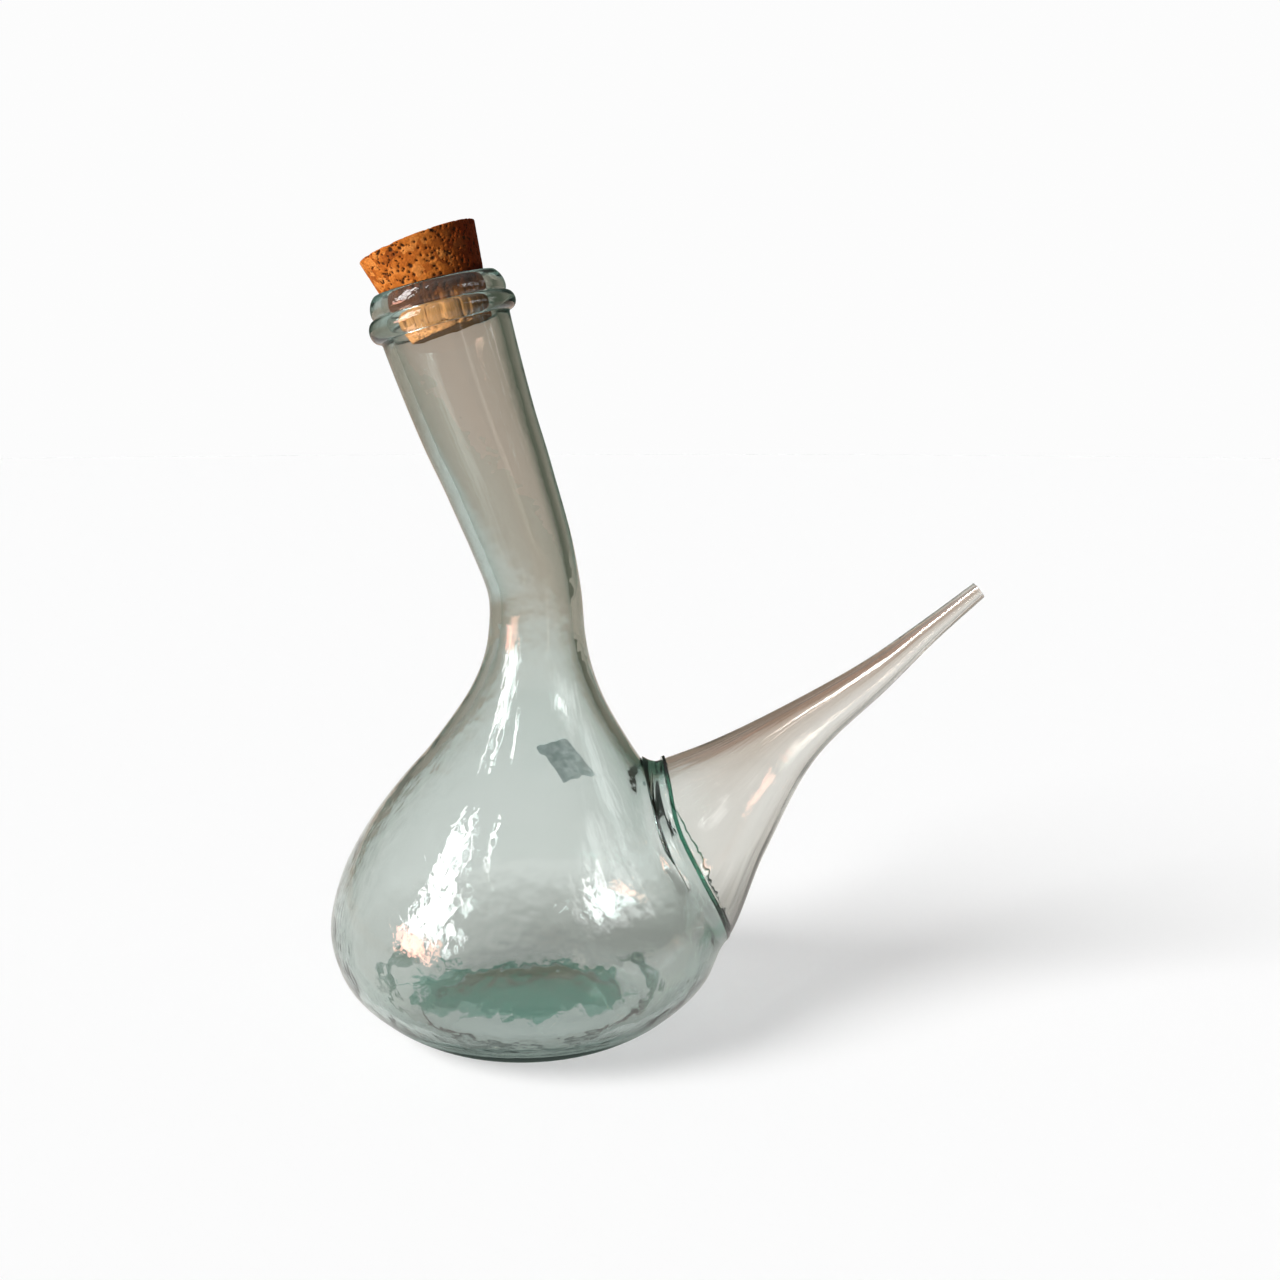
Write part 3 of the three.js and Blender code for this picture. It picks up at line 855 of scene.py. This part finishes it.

# %% [markdown]
# ## Waves in the blown wall
# Fine ripples, a little roughness and streaks pulled upwards ride on the skin places, and a slow sway on all of
# the glass. They are calmer at the heel, where the glass touched the bench, up the neck, at the seam and before
# the sticker, which shows nearly undistorted. The dark edge is broad up the neck, and it is broadened at the foot
# and at the right as painted shade.

# %% Waves in the blown wall
CALM_X, CALM_Z, CALM_SQUASH = AXIS_X + 12.5 * MM, 83 * MM, 0.7
skin_place = w.node("ShaderNodeAttribute", out="Vector", attribute_name="skin")
pulled = w.node("ShaderNodeMapping", {"Vector": skin_place, "Scale": (1, 1, 0.12)})
blown = w.node("ShaderNodeAttribute", out="Fac", attribute_name="blown")
heel_calm = height_here.fade(4 * MM, 25 * MM, 0.12, 1.0)
neck_calm = height_here.fade(100 * MM, 130 * MM, 1.0, 0.45)
sticker_calm = w.node("ShaderNodeMapping", {
    "Vector": place, "Location": (-CALM_X, 0, -CALM_SQUASH * CALM_Z), "Scale": (1, 0, CALM_SQUASH)})
sticker_calm = sticker_calm.vector("LENGTH", out="Value").fade(12 * MM, 28 * MM, 0.15, 1.0)
ripples = neck_calm * (0.14 * skin_place.noise(230.0) + 0.012 * skin_place.noise(600.0, 2.0))
ripples = ripples + (0.24 - 0.14 * neck_calm) * pulled.noise(130.0)
ripples = heel_calm * sticker_calm * (blown * ripples + 0.12 * place.noise(40.0))
narrow = height_here.fade(70 * MM, 110 * MM, 5.0, 2.2)
# The dark edge is broadened towards the right: painted shade.
narrow = narrow.math("MINIMUM", x_here.fade(AXIS_X, AXIS_X + 40 * MM, 5.0, 2.4))
# The dark edge is broadened at the foot: painted shade.
narrow = narrow.math("MINIMUM", height_here.fade(6 * MM, 22 * MM, 1.8, 5.0))
glass(w, (0.29, 0.50, 0.46), 105, ripples, (0.05, 0.22, 0.16), narrow, tint)
count(green_glass)

# %% [markdown]
# ## Clear glass
# The spout is drawn from colourless glass. Its waves run along it and fade towards the tip, and its upper side
# carries a painted brown reflection of the room half way along. The kept places give both: x is up round the ring,
# and z runs from root to tip.

# %% Clear glass
clear_glass, w = finish("clear_glass")
place = w.node("ShaderNodeTexCoord", out="Object")
drawn = w.node("ShaderNodeAttribute", out="Vector", attribute_name="drawn")
upper, _, along = drawn.parts()
# A painted brown reflection of the room on the upper side, half way along.
painted_room_brown = upper.fade(-0.2, 0.7) * along.fade(0.22, 0.5) * along.fade(0.95, 0.7)
tint = painted_room_brown.blend(CLEAR, (0.77, 0.69, 0.63, 1))
lengthwise = w.node("ShaderNodeMapping", {"Vector": drawn, "Scale": (1, 1, 0.6)})
wavy = (1.05 - along) * (0.4 * lengthwise.noise(3.5, 2.0) + 0.06 * lengthwise.noise(9.0))
wavy = wavy + 0.04 * place.noise(60.0)
glass(w, (0.50, 0.54, 0.47), 135, wavy, (0.34, 0.31, 0.26), 2.2, tint, 1.1 - along)
count(clear_glass)

# %% [markdown]
# ## Weld glass
# The weld is the same green as the bottle's, but so strongly coloured that a millimetre of it looks dark.

# %% Weld glass
weld_glass, w = finish("weld_glass")
place = w.node("ShaderNodeTexCoord", out="Object")
glass(w, (0.16, 0.58, 0.46), 1500, 0.15 * place.noise(120.0), (0.16, 0.46, 0.36), 4.0)
count(weld_glass)

# %% [markdown]
# ## Cork
# Pressed cork is crumbs of bark in a binder: each crumb has its own brown, shaken out of a texture of even
# cells. Use has left the foot in the neck pale. A dark band of painted shade sits at the mouth, where the lip
# shades the cork, and the side under the lean is darkened to a deep red brown as painted shade. Two dot products
# give the places up and across the cork.

# %% Cork crumbs and stains
SHAKE = 1.6 * MM
UP_CORK = (-math.sin(CORK_LEAN), 0, math.cos(CORK_LEAN))
ACROSS_CORK = (math.cos(CORK_LEAN), 0, math.sin(CORK_LEAN))
cork_finish, w = finish("cork")
place = w.node("ShaderNodeTexCoord", out="Object")
shaken = place.vector("ADD", place.grain(500.0, 2.0, out=1).vector("MULTIPLY", (SHAKE, SHAKE, SHAKE)))
crumb = w.node("ShaderNodeTexVoronoi", {"Vector": shaken, "Scale": 420.0}, out="Color")
bark = w.node("ShaderNodeValToRGB", {0: w.node("ShaderNodeSeparateColor", {0: crumb})}, stops=[
    (0.0, (0.22, 0.052, 0.008)), (0.2, (0.36, 0.092, 0.013)),
    (0.7, (0.45, 0.129, 0.019)), (1.0, (0.56, 0.195, 0.042))])
from_seat = place.vector("SUBTRACT", tuple(CORK_SEAT))
up_cork = from_seat.vector("DOT_PRODUCT", UP_CORK, out="Value")
across_cork = from_seat.vector("DOT_PRODUCT", ACROSS_CORK, out="Value")
bark = up_cork.fade(9.8 * MM, 6.5 * MM, 0.0, 0.7).blend(bark, (0.80, 0.38, 0.14, 1))
# A dark band of painted shade at the mouth, where the lip shades the cork.
from_lip_shade = abs(up_cork + 0.005 * (place.noise(350.0, 3.0) - 0.5) - 11.2 * MM)
bark = from_lip_shade.fade(3.4 * MM, 1.2 * MM, 0.0, 0.9).blend(bark, (0.06, 0.022, 0.012, 1))
# The side under the lean is darkened to a deep red brown: painted shade.
painted_side_shade = across_cork + 0.004 * (place.noise(300.0, 3.0) - 0.5)
bark = painted_side_shade.fade(5 * MM, 13 * MM, 0.0, 0.8).blend(bark, (0.16, 0.012, 0.002, 1))
count(cork_finish)

# %% [markdown]
# ## The cork's surface
# Fine grain speckles the crumbs and roughens the skin, and the pits carry painted shade, darkest at their deepest.
# The pits in the pale foot stay lighter, because they are pressed shut.

# %% The cork's surface
grain = place.grain(1800.0, 4.0)
speck = grain.fade(0.35, 0.65, 0.75, 1.1)
speck = w.node("ShaderNodeCombineColor", {0: speck, 1: speck, 2: speck})
bark = w.node("ShaderNodeMix", {0: 1.0, 6: bark, 7: speck}, out=2, data_type="RGBA", blend_type="MULTIPLY")
pit_depth = w.node("ShaderNodeAttribute", out="Fac", attribute_name="pit")
# Painted shade in the pits, darkest at their deepest and weaker in the foot.
painted_pit_shade = (pit_depth + 0.5 * (grain - 0.5)).fade(0.3, 0.8) * up_cork.fade(8 * MM, 12 * MM, 0.4, 1.0)
normal = w.node("ShaderNodeBump", {"Height": grain, "Strength": 0.5, "Distance": 0.25 * MM})
surface = w.node("ShaderNodeBsdfPrincipled", {
    "Base Color": painted_pit_shade.blend(bark, (0.035, 0.012, 0.004, 1)), "Roughness": 0.8,
    "Specular IOR Level": 0.08, "Normal": normal})
w.node("ShaderNodeOutputMaterial", {"Surface": surface})
count(cork_finish)

# %% [markdown]
# ## Paper
# The sticker has gone grey with age: cloudy stains over fine fibres, and matt.

# %% Paper finish
paper_finish, w = finish("paper")
place = w.node("ShaderNodeTexCoord", out="Object")
fibre = place.grain(2600.0, 3.0)
colour = w.node("ShaderNodeValToRGB", {0: 0.75 * place.grain(300.0, 4.0) + 0.25 * fibre}, stops=[
    (0.38, (0.52, 0.57, 0.56)), (0.64, (0.96, 0.99, 0.97))])
normal = w.node("ShaderNodeBump", {"Height": fibre, "Strength": 0.3, "Distance": 0.1 * MM})
surface = w.node("ShaderNodeBsdfPrincipled", {"Base Color": colour, "Roughness": 0.85, "Normal": normal})
w.node("ShaderNodeOutputMaterial", {"Surface": surface})
count(paper_finish)

# %% [markdown]
# ## Hanging the pieces on the frame
# Each piece gets its finish, smooth shading that breaks at real edges and the body that it rides on, and the CAD
# node that it stands for is hidden.

# %% The pieces on their bodies
SHARP = math.radians(40)
for piece, node, rider, slot_name, material in (
    (body, "glass_body", "vessel", "green_glass", green_glass),
    (spout, "spout", "vessel", "clear_glass", clear_glass),
    (weld, "spout_weld", "vessel", "weld_glass", weld_glass),
    (sticker, "paper_sticker", "vessel", "paper", paper_finish),
    (cork, "cork_stopper", "stopper", "cork", cork_finish),
):
    piece.data.materials.clear()
    piece.data.materials.append(material)
    fresh_start()
    piece.select_set(True)
    bpy.context.view_layer.objects.active = piece
    bpy.ops.object.shade_smooth_by_angle(angle=SHARP)
    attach(piece, rider)
    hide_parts(node)
    print(piece.name, "rides on", rider)

# %% [markdown]
# ## The floor
# The photograph has a white ground, but what shows in the glass is a table and a room. So the camera sees a pale
# floor, and the glass alone sees a table that darkens with distance and has a band of shade behind the bottle.
# Where the glass mirrors the table close to the foot it is painted dark as shade, which draws the foot's outline.
# The table seen in the glass partly glows with painted light, most near the bottle, where it is dimmed with painted
# contact shade.


# %% The floor, and what the glass sees
def seen_in_glass(w):
    ray = w.node("ShaderNodeLightPath", out="Is Glossy Ray")
    bounced = ray.also("Diffuse Depth").math("MINIMUM", 1.0)
    return ray.math("MAXIMUM", ray.also("Is Transmission Ray")) * (1 - bounced)


def mirrored_only(w):
    ray = w.node("ShaderNodeLightPath", out="Is Glossy Ray")
    return ray * (1 - ray.also("Is Transmission Ray"))


GLOOM, BLACK = (0.05, 0.10, 0.08, 1), (0, 0, 0, 1)
FLOOR_RADIUS = 6
fresh_start()
bpy.ops.mesh.primitive_circle_add(vertices=96, radius=FLOOR_RADIUS, fill_type="NGON")
ground = bpy.context.object
ground.name = "ground"
print("floor", 2 * FLOOR_RADIUS, "m across")

# %% The floor's finish
SQUEEZE = 1.8
SHADE_Y = 70 * MM
ground_finish, w = finish("ground")
on_table = w.node("ShaderNodeTexCoord", out="Object")
sideways, away, _ = on_table.parts()
spot = w.node("ShaderNodeMapping", {
    "Vector": on_table, "Location": (-SQUEEZE * AXIS_X, 0, 0), "Scale": (SQUEEZE, 1, 1)})
spot = spot.vector("LENGTH", out="Value")
far = spot.fade(0.3, 1.5, interpolation_type="SMOOTHSTEP")
behind = abs(away + 0.06 * (on_table.noise(9.0, 4.0) - 0.5) - SHADE_Y)
shade = behind.fade(75 * MM, 15 * MM) * sideways.fade(AXIS_X - 60 * MM, AXIS_X + 10 * MM, 0.2, 0.6)
table = far.blend((0.93, 0.90, 0.87, 1), (0.60, 0.48, 0.40, 1))
table = shade.blend(table, (0.33, 0.31, 0.28, 1))
# Painted shade: the table mirrored close to the foot turns gloomy.
table = (mirrored_only(w) * spot.fade(100 * MM, 50 * MM, 0.0, 0.9)).blend(table, GLOOM)
# Painted contact shade: the table is dimmed near the bottle.
table_with_painted_contact_shade = spot.fade(50 * MM, 120 * MM, 0.7, 1.0).blend(BLACK, table)
# Painted light: the table seen in the glass glows instead of being lit.
glow = w.node("ShaderNodeEmission", {"Color": table_with_painted_contact_shade, "Strength": 1.0})
matt = w.node("ShaderNodeBsdfDiffuse", {"Color": table})
seen = w.node("ShaderNodeMixShader", {0: spot.fade(50 * MM, 90 * MM, 0.0, 0.75), 1: glow, 2: matt})
shown = w.node("ShaderNodeLightPath", out="Is Camera Ray")
lit = w.node("ShaderNodeBsdfDiffuse", {"Color": shown.blend((0.35, 0.34, 0.33, 1), (0.95, 0.95, 0.95, 1))})
w.node("ShaderNodeOutputMaterial", {
    "Surface": w.node("ShaderNodeMixShader", {0: seen_in_glass(w), 1: lit, 2: seen})})
ground.data.materials.append(ground_finish)
count(ground_finish)

# %% [markdown]
# ## The room
# The camera sees white paper behind the cruet, and matt things get a little white light from all round. The glass
# alone sees the room: warm low down and pale overhead, darker towards the camera, olive brown at the right and
# light at the left. What it mirrors from behind is gloomy, which draws the dark outlines of neck and bulb.

# %% The room
PAPER_WHITE = (0.975, 0.975, 0.975, 1)
room = bpy.data.worlds.new("room")
bpy.context.scene.world = room
room.use_nodes = True
room.node_tree.nodes.clear()
w = Wire(room.node_tree)
across, back, up = w.node("ShaderNodeTexCoord", out="Generated").parts()
walls = w.node("ShaderNodeValToRGB", {0: up}, stops=[
    (0.0, (0.68, 0.50, 0.42)), (0.15, (0.63, 0.45, 0.37)), (0.4, (0.44, 0.35, 0.30)),
    (0.7, (0.45, 0.42, 0.39)), (1.0, (0.75, 0.76, 0.77))])
walls = back.fade(-1.0, 0.5, 0.8, 0.0).blend(walls, (0.24, 0.28, 0.26, 1))
walls = across.fade(0.2, 0.7, 0.0, 0.9).blend(walls, (0.15, 0.15, 0.11, 1))
walls = across.fade(-0.3, -0.9, 0.0, 0.8).blend(walls, (0.60, 0.61, 0.58, 1))
walls = (mirrored_only(w) * back.fade(0.5, 0.8, 0.0, 0.9)).blend(walls, GLOOM)
inside = w.node("ShaderNodeBackground", {"Color": walls, "Strength": 1.0})
all_round = w.node("ShaderNodeBackground", {"Color": PAPER_WHITE, "Strength": 0.12})
paper_white = w.node("ShaderNodeBackground", {"Color": PAPER_WHITE, "Strength": 1.0})
plain = w.node("ShaderNodeMixShader", {
    0: w.node("ShaderNodeLightPath", out="Is Camera Ray"), 1: all_round, 2: paper_white})
w.node("ShaderNodeOutputWorld", {
    "Surface": w.node("ShaderNodeMixShader", {0: seen_in_glass(w), 1: plain, 2: inside})})
print("room of", len(room.node_tree.nodes), "nodes")

# %% [markdown]
# ## Windows
# The highlights are windows, broken up by leaves and clouds: a tall one at the front left, a bank of clouds and a
# small window at the right, a doorway, a skylight, a warm wall, and one pane that the spout alone mirrors. Each is
# an area light whose strength is cut out by noise across its pane. They show only in gloss, not on matt things.

# %% A window
WINDOW_AIM = Vector((AXIS_X, 0, 60 * MM))
WINDOW_DISTANCE = 1.4


def point_at(light, place, aim):
    bpy.context.scene.collection.objects.link(light)
    light.location = place
    light.rotation_mode = "QUATERNION"
    light.rotation_quaternion = (Vector(aim) - Vector(place)).to_track_quat("-Z", "Y")


def window(name, azimuth, rise, width, height, radiance, leaves, taper=0.0, colour=(1, 1, 1), soft=0.08):
    lamp = bpy.data.lights.new(name, "AREA")
    lamp.shape = "RECTANGLE"
    lamp.size, lamp.size_y = width, height
    lamp.energy = radiance * math.pi * width * height
    lamp.color = colour
    lamp.use_nodes = True
    w = Wire(lamp.node_tree)
    pane = w.node("ShaderNodeNewGeometry", out="Parametric")
    across, tall, _ = pane.parts()
    inside = 1 - abs(across - 0.5).math("DIVIDE", 0.5 - taper * tall)
    shape = (1.5 * inside).math("MINIMUM", 1.0).math("MINIMUM", 4 * tall.math("MINIMUM", 1 - tall))
    pane = w.node("ShaderNodeMapping", {"Vector": pane, "Scale": (width * leaves, 0.5 * height * leaves, 1)})
    patches = w.node("ShaderNodeTexNoise", {"Vector": pane, "Scale": 1.0, "Detail": 5.0, "Roughness": 0.65})
    sky = (3.6 * (patches - 0.5) + 0.55 * shape).fade(0.3, 0.3 + soft, 0.0, 1.2)
    glow = lamp.node_tree.nodes["Emission"]
    glow.inputs["Color"].default_value = (1, 1, 1, 1)
    lamp.node_tree.links.new(sky.socket, glow.inputs["Strength"])
    light = bpy.data.objects.new(name, lamp)
    az, el = math.radians(azimuth), math.radians(rise)
    way = Vector((math.sin(az) * math.cos(el), -math.cos(az) * math.cos(el), math.sin(el)))
    point_at(light, WINDOW_AIM + WINDOW_DISTANCE * way, WINDOW_AIM)
    light.visible_diffuse = False
    return light


# %% The windows
windows = (
    window("tall_window", -60, 30, 1.2, 1.15, 14, 9, taper=0.36),
    window("clouds", 62, 33, 1.8, 0.7, 2.4, 6, soft=0.5),
    window("side_window", 50, 35, 0.5, 0.2, 8.5, 8, soft=0.2),
    window("doorway", 28, 9, 0.34, 0.8, 1.5, 5, colour=(1.0, 0.86, 0.76), soft=0.6),
    window("skylight", -31, 48, 0.14, 0.45, 26, 3, soft=0.3),
    window("glint", -22, 50, 0.36, 0.8, 30, 0, soft=0.2),
    window("warm_wall", -68, 6, 0.8, 0.34, 13, 12, colour=(1.0, 0.5, 0.38)),
)
windows = {light.name: light for light in windows}
print("windows:", ", ".join(windows))

# %% [markdown]
# ## Daylight
# Suns stand in for soft daylight on matt things. One casts the shadow, and a second goes through the glass, so the
# shadow stays pale, as a glass one is. The renderer takes no direct light through glass, so the cork and the paper
# have suns of their own that nothing blocks. Light linking says what each light reaches and what shades it.


# %% Daylight
def daylight(name, place, strength, spread):
    lamp = bpy.data.lights.new(name, "SUN")
    lamp.energy, lamp.angle = strength, math.radians(spread)
    light = bpy.data.objects.new(name, lamp)
    point_at(light, place, (0, 0, 0))
    light.visible_glossy = False
    light.visible_transmission = False
    return light


def linked(light, kind, pieces):
    group = bpy.data.collections.new(light.name + "_" + kind)
    for piece in pieces:
        group.objects.link(piece)
    setattr(light.light_linking, kind + "_collection", group)
    return group.collection_objects


DAY_PLACE = (-0.72, -0.36, 0.56)
day = daylight("day", DAY_PLACE, 2.15, 30)
through = daylight("day_through_glass", DAY_PLACE, 2.85, 24)
on_cork = daylight("day_on_cork", (-0.81, -0.51, 0.26), 6.6, 28)
on_paper = daylight("day_on_paper", (-0.3, -0.9, -0.1), 4.2, 28)
for light in (through, on_cork, on_paper):
    for entry in linked(light, "blocker", (body, spout, weld, cork, sticker)):
        entry.light_linking.link_state = "EXCLUDE"
for light in (day, through):
    for entry in linked(light, "receiver", [cork]):
        entry.light_linking.link_state = "EXCLUDE"
linked(on_cork, "receiver", [cork])
linked(windows["glint"], "receiver", [spout])
linked(on_paper, "receiver", [sticker])
bpy.context.scene.view_settings.view_transform = "Standard"
print("suns:", ", ".join(light.name for light in (day, through, on_cork, on_paper)))
